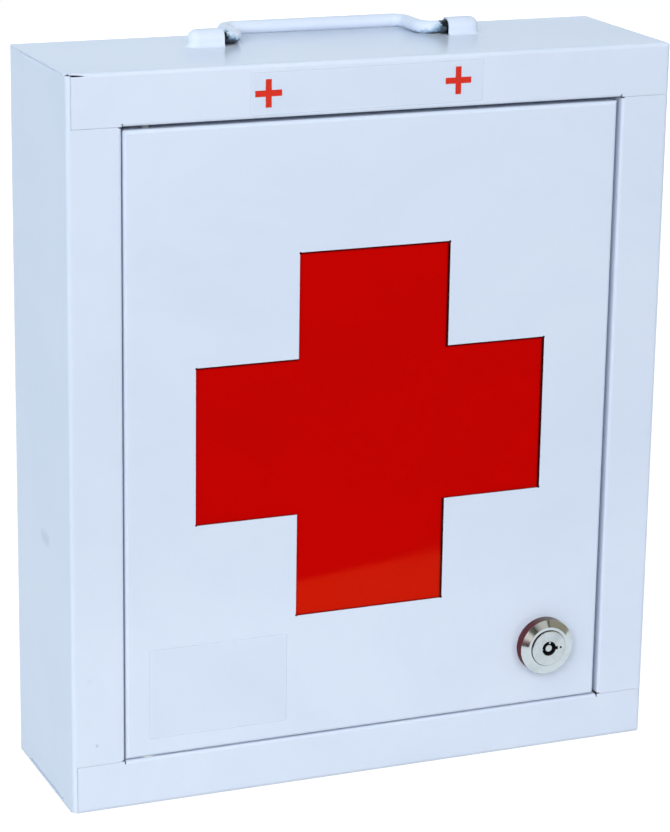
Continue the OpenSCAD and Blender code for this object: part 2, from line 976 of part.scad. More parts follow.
module lock_plug() {
    notch_w = 1.4;
    notch_r = keyway_d / 2 + 1;
    mark_r = 5.5;
    mark_d = 1;
    sunk = 0.4;
    edge = 0.3;
    color(chrome)
        at_lock()
            difference() {
                union() {
                    translate([0, 0, plug_seat])
                        cylinder(d = plug_head_d, h = plug_head_h - edge);
                    translate([0, 0, plug_face - edge])
                        cylinder(d1 = plug_head_d, d2 = plug_head_d - 2 * edge, h = edge);
                    translate([0, 0, stop_washer_front])
                        cylinder(d = plug_d, h = plug_seat - stop_washer_front);
                    block([-plug_post / 2, -plug_post / 2, plug_post_end],
                        [plug_post / 2, plug_post / 2, stop_washer_front]);
                }
                // the round keyway with its notch, and the post left in it a little below the face
                translate([0, 0, keyway_floor])
                    difference() {
                        union() {
                            cylinder(d = keyway_d, h = keyway_depth + over);
                            translate([0, -notch_w / 2, 0])
                                cube([notch_r, notch_w, keyway_depth + over]);
                        }
                        translate([0, 0, -over])
                            cylinder(d = key_post_d, h = keyway_depth + over - sunk);
                    }
                // index dimple beside the keyway
                translate([mark_r, 0, plug_face - sunk])
                    cylinder(d = mark_d, h = over);
                translate([0, 0, keyway_floor - tumbler_bore])
                    at_tumblers()
                        cylinder(d = tumbler_d + slip, h = tumbler_bore + over / 2);
                // hole for the cam screw
                translate([0, 0, plug_post_end - over])
                    cylinder(d = screw_d + slip, h = screw_l + over);
            }
}

module tumbler_pins() {
    color(chrome)
        at_lock()
            at_tumblers()
                translate([0, 0, keyway_floor + tumbler_up - tumbler_l])
                    cylinder(d = tumbler_d, h = tumbler_l);
}

module cam_stop_washer() {
    tab_r = barrel_flats / 2 - slip;
    tab_half = tab_r * 2 * tan(stop_tab / 2 - 1.5 * stop_play);
    color(zinc)
        at_lock()
            translate([0, 0, cam_front])
                linear_extrude(stop_washer_t)
                    difference() {
                        union() {
                            circle(stop_hub_r);
                            rotate(90)
                                intersection() {
                                    circle(tab_r);
                                    polygon([[0, 0], [2 * tab_r, -tab_half], [2 * tab_r, tab_half]]);
                                }
                        }
                        square(plug_post + slip, center = true);
                    }
}

module lock_cam() {
    color(zinc)
        at_lock()
            translate([0, 0, cam_back])
                linear_extrude(cam_t)
                    difference() {
                        union() {
                            circle(cam_hub_r);
                            plate([-cam_w / 2, 0], [cam_w / 2, cam_reach], cam_corner_r, [[0, 1], [1, 1]]);
                        }
                        square(plug_post + slip, center = true);
                    }
}

module cam_screw() {
    color(zinc)
        at_lock() {
            translate([0, 0, cam_back - screw_head_h])
                cylinder(d = screw_head_d, h = screw_head_h, $fn = 6);
            translate([0, 0, cam_back])
                cylinder(d = screw_d, h = screw_l - screw_spare);
        }
}

// ---- Handle ----

// A straight length of wire along X
module wire_x(from, to) {
    translate([from, 0, 0])
        rotate([0, 90, 0])
            cylinder(r = wire_r, h = to - from);
}

// A right-angle bend of wire about the origin, starting at this angle
module wire_bend(start) {
    rotate(start)
        rotate_extrude(angle = 90)
            translate([wire_bend_r, 0])
                circle(wire_r);
}

module carry_handle() {
    leg_x = handle_span / 2;
    color(paint)
        translate([handle_slide, handle_y, handle_z]) {
            for (side = [0, 1]) {
                mirror([side, 0, 0]) {
                    wire_x(leg_x + wire_bend_r, leg_x + handle_end_l);
                    translate([leg_x + wire_bend_r, wire_bend_r, 0])
                        wire_bend(180);
                    translate([leg_x, wire_bend_r, 0])
                        rotate([-90, 0, 0])
                            cylinder(r = wire_r, h = handle_reach - 2 * wire_bend_r);
                    translate([leg_x - wire_bend_r, handle_reach - wire_bend_r, 0])
                        wire_bend(0);
                }
            }
            translate([0, handle_reach, 0])
                wire_x(wire_bend_r - leg_x, leg_x - wire_bend_r);
        }
}

wrapper_shell();
left_side_panel();
back_panel();
upper_shelf();
lower_shelf();
upper_shelf_brackets();
lower_shelf_brackets();
upper_hinge_pin();
lower_hinge_pin();
pivot_washer();
door_panel();
upper_pivot_plate();
lower_pivot_plate();
window_sheet();
window_studs();
window_washers();
window_nuts();
lock_barrel();
lock_washer();
lock_nut();
lock_plug();
tumbler_pins();
cam_stop_washer();
lock_cam();
cam_screw();
carry_handle();
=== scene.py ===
"""Looks of the lockable first-aid cabinet: powder-coated sheet steel with a painted highlight along
its edges, a red acrylic cross window with painted shade along its cut-out, a chromed cam lock with
painted reflections on its bezel and painted shade in its keyway, dimple and groove, zinc-plated
hardware, a painted wire handle with worn ends and painted shade at the sockets' mouths, two clear
labels and two printed plus signs.
Metres, +X to the lock side, +Y to the wall, +Z up."""

import json
import math

import bmesh
import bpy
from mathutils import Matrix, Vector


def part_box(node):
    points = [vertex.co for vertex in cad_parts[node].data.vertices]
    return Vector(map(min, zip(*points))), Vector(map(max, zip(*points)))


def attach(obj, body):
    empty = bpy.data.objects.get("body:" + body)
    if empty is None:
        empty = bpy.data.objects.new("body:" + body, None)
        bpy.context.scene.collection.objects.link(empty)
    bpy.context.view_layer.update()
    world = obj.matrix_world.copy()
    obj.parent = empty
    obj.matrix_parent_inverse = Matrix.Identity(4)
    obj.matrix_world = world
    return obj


MM = 0.001

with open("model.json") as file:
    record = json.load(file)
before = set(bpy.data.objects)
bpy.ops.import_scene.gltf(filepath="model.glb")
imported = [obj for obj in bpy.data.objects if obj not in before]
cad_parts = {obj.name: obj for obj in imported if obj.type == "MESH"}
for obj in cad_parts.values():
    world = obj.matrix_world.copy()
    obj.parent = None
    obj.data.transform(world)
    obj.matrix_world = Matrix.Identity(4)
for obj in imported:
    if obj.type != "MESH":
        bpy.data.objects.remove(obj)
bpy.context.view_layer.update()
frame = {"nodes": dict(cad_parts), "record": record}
nodes = frame["nodes"]

# ---- Places taken from the frame ----

side_low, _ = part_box("left_side_panel")
door_low, door_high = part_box("door_panel")
window_low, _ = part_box("window_sheet")
barrel_low, barrel_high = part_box("lock_barrel")
plug_low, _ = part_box("lock_plug")
handle_low, handle_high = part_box("carry_handle")

FRONT_Y = side_low.y
DOOR_Y = door_low.y
WINDOW_Y = window_low.y
PLUG_Y = plug_low.y
CROSS_X = (door_low.x + door_high.x) / 2
CROSS_Z = (door_low.z + door_high.z) / 2
LOCK_X = (barrel_low.x + barrel_high.x) / 2
LOCK_Z = (barrel_low.z + barrel_high.z) / 2
HANDLE_AXIS_Z = (handle_low.z + handle_high.z) / 2

# ---- Sizes of the solids that the marks follow ----

CROSS_HALF = 77 * MM  # half the cut-out's height and width
CROSS_ARM = 33 * MM  # half the width of its bars
SHEET = 0.8 * MM
BEZEL_RADIUS = 12.2 * MM
BEZEL_RIM = 4.6 * MM  # how far the bezel's side wall stands out from the door
KEYWAY_RADIUS = 3.2 * MM
MARK_REACH = 5.5 * MM  # from the lock's axis to the index dimple

# ---- Small helpers ----


def only(obj):
    """Deselect everything and make obj the one selected, active object."""
    bpy.ops.object.select_all(action="DESELECT")
    obj.select_set(True)
    bpy.context.view_layer.objects.active = obj


def settle(obj):
    """Put the object's place, turn and size into its mesh."""
    only(obj)
    bpy.ops.object.transform_apply(location=True, rotation=True, scale=True)


def new_material(name):
    """A material with a Principled shader. Returns the material, its node tree and the shader."""
    mat = bpy.data.materials.new(name)
    mat.use_nodes = True
    tree = mat.node_tree
    return mat, tree, tree.nodes["Principled BSDF"]


def add(tree, kind, **settings):
    """A new node with these properties set."""
    made = tree.nodes.new(kind)
    for key, value in settings.items():
        setattr(made, key, value)
    return made


def feed(tree, socket, value):
    """Feed an input from another socket, or set it to a number or to a colour of three shares."""
    if isinstance(value, bpy.types.NodeSocket):
        tree.links.new(value, socket)
    elif isinstance(value, tuple):
        socket.default_value = (*value, 1)
    else:
        socket.default_value = value


def grey(level):
    return (level, level, level)


def object_coordinates(tree):
    return add(tree, "ShaderNodeTexCoord").outputs["Object"]


def axes(tree, place):
    """The X, Y and Z of a place, by name."""
    split = add(tree, "ShaderNodeSeparateXYZ")
    tree.links.new(place, split.inputs[0])
    return split.outputs


def math_node(tree, operation, first, second=None, clamp=False):
    """A Math node fed by sockets or numbers. Returns its output."""
    made = add(tree, "ShaderNodeMath", operation=operation, use_clamp=clamp)
    feed(tree, made.inputs[0], first)
    if second is not None:
        feed(tree, made.inputs[1], second)
    return made.outputs[0]


def length(tree, first, second):
    """The length of a flat vector."""
    first_square = math_node(tree, "MULTIPLY", first, first)
    second_square = math_node(tree, "MULTIPLY", second, second)
    return math_node(tree, "SQRT", math_node(tree, "ADD", first_square, second_square))


def turn_share(tree, sideways, ahead):
    """The angle of a flat direction, in turns from 0 to 1, with 0.5 straight ahead."""
    angle = math_node(tree, "ARCTAN2", sideways, ahead)
    return math_node(tree, "ADD", math_node(tree, "DIVIDE", angle, 2 * math.pi), 0.5)


def ramp(tree, value, stops):
    """A colour ramp with stops of (position, grey or colour). Returns its colour output."""
    made = add(tree, "ShaderNodeValToRGB")
    tree.links.new(value, made.inputs["Fac"])
    elements = made.color_ramp.elements
    while len(elements) < len(stops):
        elements.new(0.5)
    for element, (position, tone) in zip(elements, stops):
        element.position = position
        element.color = (*(tone if isinstance(tone, tuple) else grey(tone)), 1)
    return made.outputs["Color"]


# The Mix node holds the sockets of all its data types. These are the ones for colours.
COLOUR_MIX_INPUTS = (0, 6, 7)
COLOUR_MIX_OUTPUT = 2


def mix_colour(tree, factor, first, second):
    """Mix two colours. Each input is a socket, a number or a colour."""
    made = add(tree, "ShaderNodeMix", data_type="RGBA")
    for index, value in zip(COLOUR_MIX_INPUTS, (factor, first, second)):
        feed(tree, made.inputs[index], value)
    return made.outputs[COLOUR_MIX_OUTPUT]


def noise(tree, place, scale, **settings):
    """A Noise texture. Returns its value from 0 to 1."""
    made = add(tree, "ShaderNodeTexNoise")
    feed(tree, made.inputs["Vector"], place)
    feed(tree, made.inputs["Scale"], scale)
    for label, value in settings.items():
        feed(tree, made.inputs[label.capitalize()], value)
    return made.outputs["Fac"]


def bump(tree, shader, height, strength, distance, normal=None):
    """Feed a height to the shader's normal through a Bump node."""
    made = add(tree, "ShaderNodeBump")
    feed(tree, made.inputs["Strength"], strength)
    feed(tree, made.inputs["Distance"], distance)
    feed(tree, made.inputs["Height"], height)
    if normal is not None:
        feed(tree, made.inputs["Normal"], normal)
    feed(tree, shader.inputs["Normal"], made.outputs["Normal"])


# ---- Shared shader groups ----


def new_group(name, inputs, outputs):
    """An empty shader group. inputs: (name, kind, default). outputs: (name, kind)."""
    group = bpy.data.node_groups.new(name, "ShaderNodeTree")
    for label, kind, default in inputs:
        socket = group.interface.new_socket(label, in_out="INPUT", socket_type="NodeSocket" + kind)
        if default is not None:
            socket.default_value = default
    for label, kind in outputs:
        group.interface.new_socket(label, in_out="OUTPUT", socket_type="NodeSocket" + kind)
    return group, add(group, "NodeGroupInput").outputs, add(group, "NodeGroupOutput").inputs


def place_group(tree, group, **values):
    """Put a shader group into a material, with its inputs set by name."""
    made = add(tree, "ShaderNodeGroup", node_tree=group)
    for label, value in values.items():
        feed(tree, made.inputs[label.replace("_", " ").capitalize()], value)
    return made.outputs


def orange_peel_group():
    """The slow waves and fine pebbling of sprayed or powder-coated paint, as a height."""
    group, given, out = new_group(
        "orange_peel",
        [
            ("Place", "Vector", None),
            ("Wave size", "Float", 300.0),
            ("Pebble size", "Float", 1500.0),
            ("Pebble share", "Float", 0.3),
        ],
        [("Height", "Float")],
    )
    waves = noise(group, given["Place"], given["Wave size"], detail=1.0)
    pebbles = noise(group, given["Place"], given["Pebble size"], detail=2.0)
    small = math_node(group, "MULTIPLY", pebbles, given["Pebble share"])
    group.links.new(math_node(group, "ADD", waves, small), out["Height"])
    return group


def edge_group():
    """Edges of a piece: a normal that rounds them, and a mask that is 1 along them."""
    group, given, out = new_group(
        "rounded_edges",
        [("Radius", "Float", 0.4 * MM), ("Reach", "Float", 6.0)],
        [("Mask", "Float"), ("Normal", "Vector")],
    )
    bevel = add(group, "ShaderNodeBevel", samples=6)
    group.links.new(given["Radius"], bevel.inputs["Radius"])
    geometry = add(group, "ShaderNodeNewGeometry")
    dot = add(group, "ShaderNodeVectorMath", operation="DOT_PRODUCT")
    group.links.new(bevel.outputs["Normal"], dot.inputs[0])
    group.links.new(geometry.outputs["Normal"], dot.inputs[1])
    away = math_node(group, "SUBTRACT", 1.0, dot.outputs["Value"])
    group.links.new(math_node(group, "MULTIPLY", away, given["Reach"], clamp=True), out["Mask"])
    group.links.new(bevel.outputs["Normal"], out["Normal"])
    return group


def nib_group():
    """Sparse round nibs of dust under the paint."""
    group, given, out = new_group(
        "paint_nibs",
        [
            ("Place", "Vector", None),
            ("Spacing", "Float", 28.0),
            ("Size", "Float", 0.016),
            ("Share", "Float", 0.8),
        ],
        [("Mask", "Float")],
    )
    cells = add(group, "ShaderNodeTexVoronoi", feature="F1")
    group.links.new(given["Place"], cells.inputs["Vector"])
    group.links.new(given["Spacing"], cells.inputs["Scale"])
    near = math_node(group, "LESS_THAN", cells.outputs["Distance"], given["Size"])
    split = add(group, "ShaderNodeSeparateColor")
    group.links.new(cells.outputs["Color"], split.inputs["Color"])
    chosen = math_node(group, "GREATER_THAN", split.outputs["Red"], given["Share"])
    group.links.new(math_node(group, "MULTIPLY", near, chosen), out["Mask"])
    return group


def smudge_group():
    """Cloudy patches where handling has dulled a gloss surface."""
    group, given, out = new_group(
        "smudges",
        [("Place", "Vector", None), ("Size", "Float", 14.0)],
        [("Mask", "Float")],
    )
    cloud = noise(
        group, given["Place"], given["Size"], detail=5.0, roughness=0.62, distortion=0.6
    )
    group.links.new(ramp(group, cloud, [(0.42, 0.0), (0.68, 1.0)]), out["Mask"])
    return group


def cross_group():
    """How far a place lies inside the outline of the cross cut-out, in metres. Outside it is
    below 0. Shift moves the outline down and to the left."""
    group, given, out = new_group(
        "cross_depth",
        [("Place", "Vector", None), ("Shift", "Float", 0.0)],
        [("Depth", "Float")],
    )
    at = axes(group, given["Place"])
    ends = []
    flanks = []
    for axis, middle in (("X", CROSS_X), ("Z", CROSS_Z)):
        offset = math_node(group, "SUBTRACT", at[axis], middle)
        away = math_node(group, "ABSOLUTE", math_node(group, "ADD", offset, given["Shift"]))
        ends.append(math_node(group, "SUBTRACT", CROSS_HALF, away))
        flanks.append(math_node(group, "SUBTRACT", CROSS_ARM, away))
    upright = math_node(group, "MINIMUM", flanks[0], ends[1])
    level = math_node(group, "MINIMUM", ends[0], flanks[1])
    group.links.new(math_node(group, "MAXIMUM", upright, level), out["Depth"])
    return group


def lock_group():
    """A place seen along the lock's axis: its radius, its turn from 0 to 1 with the left at both
    ends, how far behind the plug's face it lies, and how far it is from the index dimple."""
    group, given, out = new_group(
        "lock_place",
        [("Place", "Vector", None)],
        [("Radius", "Float"), ("Turn", "Float"), ("Depth", "Float"), ("Mark", "Float")],
    )
    at = axes(group, given["Place"])
    across = math_node(group, "SUBTRACT", at["X"], LOCK_X)
    up = math_node(group, "SUBTRACT", at["Z"], LOCK_Z)
    past_mark = math_node(group, "SUBTRACT", across, MARK_REACH)
    group.links.new(length(group, across, up), out["Radius"])
    group.links.new(turn_share(group, up, across), out["Turn"])
    group.links.new(math_node(group, "SUBTRACT", at["Y"], PLUG_Y), out["Depth"])
    group.links.new(length(group, past_mark, up), out["Mark"])
    return group


ORANGE_PEEL = orange_peel_group()
ROUNDED_EDGES = edge_group()
PAINT_NIBS = nib_group()
SMUDGES = smudge_group()
CROSS_DEPTH = cross_group()
LOCK_PLACE = lock_group()

# ---- Tones and marks of the materials ----

PAINT_TONE = (0.74, 0.80, 0.91)
PAINT_SHADE = (0.70, 0.76, 0.88)
# The lighter tone that the paint takes along its edges is a painted highlight
PAINT_EDGE_HIGHLIGHT = (0.80, 0.85, 0.94)
PAINT_EDGE_HIGHLIGHT_SHARE = 0.25
NIB_TONE = (0.35, 0.38, 0.45)
NIB_SHARE = 0.5
EDGE_RADIUS = 0.4 * MM
DOOR_EDGE_RADIUS = 0.12 * MM
PLATED_EDGE_RADIUS = 0.25 * MM
FILM_EDGE_RADIUS = 0.3 * MM
BARE_ROUGHNESS = grey(0.45)
PAINTED_LIGHT_ROUGHNESS = grey(0.7)

RED = (0.63, 0.001, 0.0005)
RED_DULL = (0.59, 0.001, 0.001)
RED_IN_GLOSS = (1.0, 0.10, 0.0)
ACRYLIC_IOR = 1.8
# Painted shade on the window along the cut-out, wider on the right and top, by the depth inside it in
# WINDOW_SHADE
WINDOW_SHADE = 1.0 * MM
WINDOW_SHADE_SHIFT = 0.45 * MM
WINDOW_SHADE_FADE = [(0.0, 1.0), (0.30, 0.62), (0.60, 0.22), (1.0, 0.0)]
WINDOW_FRONT_MARGIN = 0.05 * MM
# Near-black maroon of painted shade: along the cut-out on the window, and on the door's cut edges
# with a painted reflection of the red window
CUT_EDGE_SHADE = (0.045, 0.0005, 0.002)
CUT_EDGE_REACH = 1.2 * MM
CUT_EDGE_MARGIN = 0.03 * MM

# Each a clean tone and the duller one that it drifts to
CHROME = ((0.70, 0.70, 0.68), (0.63, 0.63, 0.61))
ZINC = ((0.62, 0.63, 0.64), (0.50, 0.51, 0.50))
NYLON = ((0.78, 0.77, 0.70), (0.70, 0.68, 0.60))
INK = ((0.76, 0.030, 0.012), (0.66, 0.022, 0.010))
NYLON_ROUGHNESS = 0.45
FILM_EDGE_SHADE = (0.55, 0.63, 0.76)

# Near-black painted shade in the keyway, the index dimple and the groove round the plug
PLUG_SHADE = (0.012, 0.012, 0.014)
MARK_RADIUS = 0.7 * MM
MARK_SUNK = 0.05 * MM
KEYWAY_SHADE_RADIUS = KEYWAY_RADIUS + 1.1 * MM
KEYWAY_SHADE_SUNK = 0.45 * MM
PLUG_EDGE_RADIUS = 7.8 * MM
BEZEL_WALL_MARGIN = 0.1 * MM
# Painted reflections round the bezel's side wall, the red cross's dark red on the left and grey,
# khaki and brown elsewhere; in turns from the left over the bottom, the right and the top
BEZEL_PAINTED_REFLECTIONS = [
    (0.00, (0.11, 0.003, 0.008)),
    (0.12, (0.11, 0.003, 0.008)),
    (0.18, (0.45, 0.45, 0.44)),
    (0.55, (0.45, 0.45, 0.44)),
    (0.62, (0.33, 0.31, 0.24)),
    (0.75, (0.14, 0.11, 0.10)),
    (0.84, (0.09, 0.015, 0.02)),
    (1.00, (0.11, 0.003, 0.008)),
]

MARK_TONE = (0.20, 0.28, 0.42)
# Place, radius and strength: a smudge made of three in a row, and two specks
SIDE_MARKS = [
    ((side_low.x, -5.6 * MM, 108.5 * MM), 4.0 * MM, 0.18),
    ((side_low.x, -2.6 * MM, 108.5 * MM), 4.0 * MM, 0.22),
    ((side_low.x, 0.4 * MM, 108.5 * MM), 4.0 * MM, 0.18),
    ((-122.5 * MM, FRONT_Y, 57.5 * MM), 1.6 * MM, 0.07),
    ((-119.7 * MM, FRONT_Y, 29 * MM), 0.9 * MM, 0.38),
]

# The handle wears outwards along the wire, sooner below its axis; at the sockets' mouths it turns
# near black, which is painted shade of the mouths
WEAR_PATCH = 12 * MM
WEAR_BELOW = 2.2
WEAR_START = 44.8 * MM
WEAR_WIDTH = 14 * MM
MOUTH_SHADE_START = 52.6 * MM
MOUTH_SHADE_WIDTH = 2.0 * MM
HANDLE_WEAR_AND_SHADE = [
    (0.0, (0.66, 0.77, 0.90)),
    (0.35, (0.27, 0.43, 0.58)),
    (0.60, (0.06, 0.09, 0.12)),
    (0.85, (0.010, 0.012, 0.016)),
]
HANDLE_WORN_SHARE = [(0.12, 0.0), (0.32, 0.75), (0.45, 1.0)]
HANDLE_BARE_SHARE = [(0.55, 0.0), (0.80, 0.5)]

# ---- Materials ----


def smudged(tree, place, size, tones, roughness):
    """A tone and a roughness that drift in cloudy patches. tones and roughness: clean, smudged."""
    mask = place_group(tree, SMUDGES, place=place, size=size)["Mask"]
    clean, dulled = roughness
    return mix_colour(tree, mask, *tones), ramp(tree, mask, [(0.0, clean), (1.0, dulled)])


def powder_coat(name, marks=None, edge_radius=EDGE_RADIUS):
    """Gloss white powder coat, lighter along its edges as a painted highlight. marks, if given, turns
    the tree, the place and the tone into a tone with marks and the share of bare metal, or None."""
    mat, tree, shader = new_material(name)
    place = object_coordinates(tree)
    peel = place_group(tree, ORANGE_PEEL, place=place, wave_size=260.0, pebble_size=1400.0)
    edges = place_group(tree, ROUNDED_EDGES, radius=edge_radius)
    nibs = place_group(tree, PAINT_NIBS, place=place)
    tone, rough = smudged(tree, place, 9.0, (PAINT_TONE, PAINT_SHADE), (0.20, 0.27))
    # Lighter along the edges: a painted highlight
    on_edge = math_node(tree, "MULTIPLY", edges["Mask"], PAINT_EDGE_HIGHLIGHT_SHARE)
    tone = mix_colour(tree, on_edge, tone, PAINT_EDGE_HIGHLIGHT)
    on_nib = math_node(tree, "MULTIPLY", nibs["Mask"], NIB_SHARE)
    tone = mix_colour(tree, on_nib, tone, NIB_TONE)
    metal = None
    if marks is not None:
        tone, metal = marks(tree, place, tone)
    if metal is not None:
        rough = mix_colour(tree, metal, rough, BARE_ROUGHNESS)
        feed(tree, shader.inputs["Metallic"], metal)
    feed(tree, shader.inputs["Base Color"], tone)
    feed(tree, shader.inputs["Roughness"], rough)
    bump(tree, shader, peel["Height"], strength=0.12, distance=0.2 * MM, normal=edges["Normal"])
    return mat


def red_acrylic():
    """Deep red gloss acrylic with fine handling scratches, and painted shade along the cut-out on its
    front, wider on the right and top.
    """
    mat, tree, shader = new_material("red_acrylic")
    place = object_coordinates(tree)
    tone, rough = smudged(tree, place, 12.0, (RED, RED_DULL), (0.05, 0.11))
    depth = place_group(tree, CROSS_DEPTH, place=place, shift=WINDOW_SHADE_SHIFT)["Depth"]
    shade = ramp(tree, math_node(tree, "DIVIDE", depth, WINDOW_SHADE), WINDOW_SHADE_FADE)
    front_limit = WINDOW_Y + WINDOW_FRONT_MARGIN
    in_front = math_node(tree, "LESS_THAN", axes(tree, place)["Y"], front_limit)
    # Painted shade along the cut-out
    tone = mix_colour(tree, math_node(tree, "MULTIPLY", shade, in_front), tone, CUT_EDGE_SHADE)
    feed(tree, shader.inputs["Base Color"], tone)
    feed(tree, shader.inputs["Roughness"], rough)
    feed(tree, shader.inputs["IOR"], ACRYLIC_IOR)
    feed(tree, shader.inputs["Specular Tint"], RED_IN_GLOSS)
    scratches = noise(tree, place, 60.0, detail=8.0)
    bump(tree, shader, scratches, strength=0.04, distance=0.2 * MM)
    return mat


def plated(name, tones, roughness, grain, marks=None):
    """Plated metal: a tone that drifts to a duller one in patches, over a fine grain. marks, if
    given, turns the tree, the place and the tone into a tone with painted light (reflections on the
    bezel, shade on the plug) and its mask."""
    mat, tree, shader = new_material(name)
    feed(tree, shader.inputs["Metallic"], 1.0)
    place = object_coordinates(tree)
    edges = place_group(tree, ROUNDED_EDGES, radius=PLATED_EDGE_RADIUS)
    tone, rough = smudged(tree, place, 120.0, tones, (roughness, roughness + 0.12))
    if marks is not None:
        # Where reflections or shade are painted in, the metal turns dull and rough
        tone, painted_light_mask = marks(tree, place, tone)
        rough = mix_colour(tree, painted_light_mask, rough, PAINTED_LIGHT_ROUGHNESS)
        feed(tree, shader.inputs["Metallic"], math_node(tree, "SUBTRACT", 1.0, painted_light_mask))
    feed(tree, shader.inputs["Base Color"], tone)
    feed(tree, shader.inputs["Roughness"], rough)
    fine = noise(tree, place, 2600.0, detail=3.0)
    bump(tree, shader, fine, strength=grain, distance=0.1 * MM, normal=edges["Normal"])
    return mat


def natural_nylon():
    """Slightly waxy off-white nylon."""
    mat, tree, shader = new_material("natural_nylon")
    place = object_coordinates(tree)
    smudge = place_group(tree, SMUDGES, place=place, size=200.0)
    feed(tree, shader.inputs["Base Color"], mix_colour(tree, smudge["Mask"], *NYLON))
    feed(tree, shader.inputs["Roughness"], NYLON_ROUGHNESS)
    peel = place_group(tree, ORANGE_PEEL, place=place, wave_size=900.0, pebble_size=3000.0)
    bump(tree, shader, peel["Height"], strength=0.2, distance=0.1 * MM)
    return mat


def label_film():
    """Clear sticker film: almost invisible on the paint, glossier than it, with its cut edge painted
    as a faint bluish grey line of shade.
    """
    mat, tree, shader = new_material("label_film")
    place = object_coordinates(tree)
    edges = place_group(tree, ROUNDED_EDGES, radius=FILM_EDGE_RADIUS, reach=2.0)
    smudge = place_group(tree, SMUDGES, place=place, size=60.0)
    # Painted shade along the film's cut edge
    tone = mix_colour(tree, edges["Mask"], PAINT_TONE, FILM_EDGE_SHADE)
    feed(tree, shader.inputs["Base Color"], tone)
    rough = ramp(tree, smudge["Mask"], [(0.0, 0.08), (1.0, 0.16)])
    feed(tree, shader.inputs["Roughness"], rough)
    cover = ramp(tree, edges["Mask"], [(0.0, 0.03), (1.0, 0.5)])
    feed(tree, shader.inputs["Alpha"], cover)
    peel = place_group(tree, ORANGE_PEEL, place=place, wave_size=420.0, pebble_size=1800.0)
    bump(tree, shader, peel["Height"], strength=0.05, distance=0.1 * MM)
    return mat


def label_ink():
    """Red printing ink with a slightly uneven coat."""
    mat, tree, shader = new_material("label_ink")
    place = object_coordinates(tree)
    tone, rough = smudged(tree, place, 240.0, INK, (0.22, 0.34))
    feed(tree, shader.inputs["Base Color"], tone)
    feed(tree, shader.inputs["Roughness"], rough)
    peel = place_group(tree, ORANGE_PEEL, place=place, wave_size=900.0, pebble_size=3200.0)
    bump(tree, shader, peel["Height"], strength=0.05, distance=0.1 * MM)
    return mat


def handle_wear_and_shade(tree, place, tone):
    """The wire's ends where they rub in the sockets' mouths: thin bluish paint, then dark steel, then
    near black, which is painted shade at the mouths. Returns the new tone and the share of bare
    metal."""
    at = axes(tree, place)
    patches = noise(tree, place, 380.0, detail=5.0)
    patchy = math_node(tree, "MULTIPLY", patches, WEAR_PATCH)
    outward = math_node(tree, "ADD", math_node(tree, "ABSOLUTE", at["X"]), patchy)
    below = math_node(tree, "SUBTRACT", HANDLE_AXIS_Z, at["Z"])
    reach = math_node(tree, "ADD", outward, math_node(tree, "MULTIPLY", below, WEAR_BELOW))
    past_start = math_node(tree, "SUBTRACT", reach, WEAR_START)
    along_wire = math_node(tree, "DIVIDE", past_start, WEAR_WIDTH, clamp=True)
    # Painted shade where the wire enters the sockets' mouths
    past_mouth = math_node(tree, "SUBTRACT", outward, MOUTH_SHADE_START)
    mouth_shade = math_node(tree, "DIVIDE", past_mouth, MOUTH_SHADE_WIDTH, clamp=True)
    level = math_node(tree, "MAXIMUM", along_wire, mouth_shade)
    worn_and_shaded = ramp(tree, level, HANDLE_WEAR_AND_SHADE)
    share = ramp(tree, level, HANDLE_WORN_SHARE)
    return mix_colour(tree, share, tone, worn_and_shaded), ramp(tree, level, HANDLE_BARE_SHARE)


def cross_cut_edge_shade(tree, place, tone):
    """The cut edges of the door's sheet round the cross, painted near-black maroon as painted shade
    with a painted reflection of the red window.
    Returns the new tone and no share of bare metal."""
    depth = place_group(tree, CROSS_DEPTH, place=place)["Depth"]
    near = math_node(tree, "GREATER_THAN", depth, -CUT_EDGE_REACH)
    inset = math_node(tree, "SUBTRACT", axes(tree, place)["Y"], DOOR_Y)
    past_face = math_node(tree, "GREATER_THAN", inset, CUT_EDGE_MARGIN)
    before_back = math_node(tree, "LESS_THAN", inset, SHEET - CUT_EDGE_MARGIN)
    in_sheet = math_node(tree, "MULTIPLY", past_face, before_back)
    # The cut edges take the painted shade and reflection
    return mix_colour(tree, math_node(tree, "MULTIPLY", near, in_sheet), tone, CUT_EDGE_SHADE), None


def side_marks(tree, place, tone):
    """A smudge and two specks that the paint of the hinge side has picked up.
    Returns the new tone and no share of bare metal."""
    mask = None
    for spot, radius, strength in SIDE_MARKS:
        apart = add(tree, "ShaderNodeVectorMath", operation="DISTANCE")
        tree.links.new(place, apart.inputs[0])
        apart.inputs[1].default_value = spot
        share = math_node(tree, "DIVIDE", apart.outputs["Value"], radius)
        one = ramp(tree, share, [(0.3, strength), (1.0, 0.0)])
        mask = one if mask is None else math_node(tree, "MAXIMUM", mask, one)
    return mix_colour(tree, mask, tone, MARK_TONE), None


def bezel_painted_reflections(tree, place, tone):
    """The bezel's side wall, painted with reflections: the red cross's dark red on the left and brown
    to khaki over the top. Returns the new tone and the mask of the painted reflections."""
    spot = place_group(tree, LOCK_PLACE, place=place)
    wall_radius = BEZEL_RADIUS - BEZEL_WALL_MARGIN
    wall_depth = DOOR_Y - BEZEL_RIM - PLUG_Y
    on_wall = math_node(tree, "GREATER_THAN", spot["Radius"], wall_radius)
    behind_bevel = math_node(tree, "GREATER_THAN", spot["Depth"], wall_depth)
    mask = math_node(tree, "MULTIPLY", on_wall, behind_bevel)
    return mix_colour(tree, mask, tone, ramp(tree, spot["Turn"], BEZEL_PAINTED_REFLECTIONS)), mask


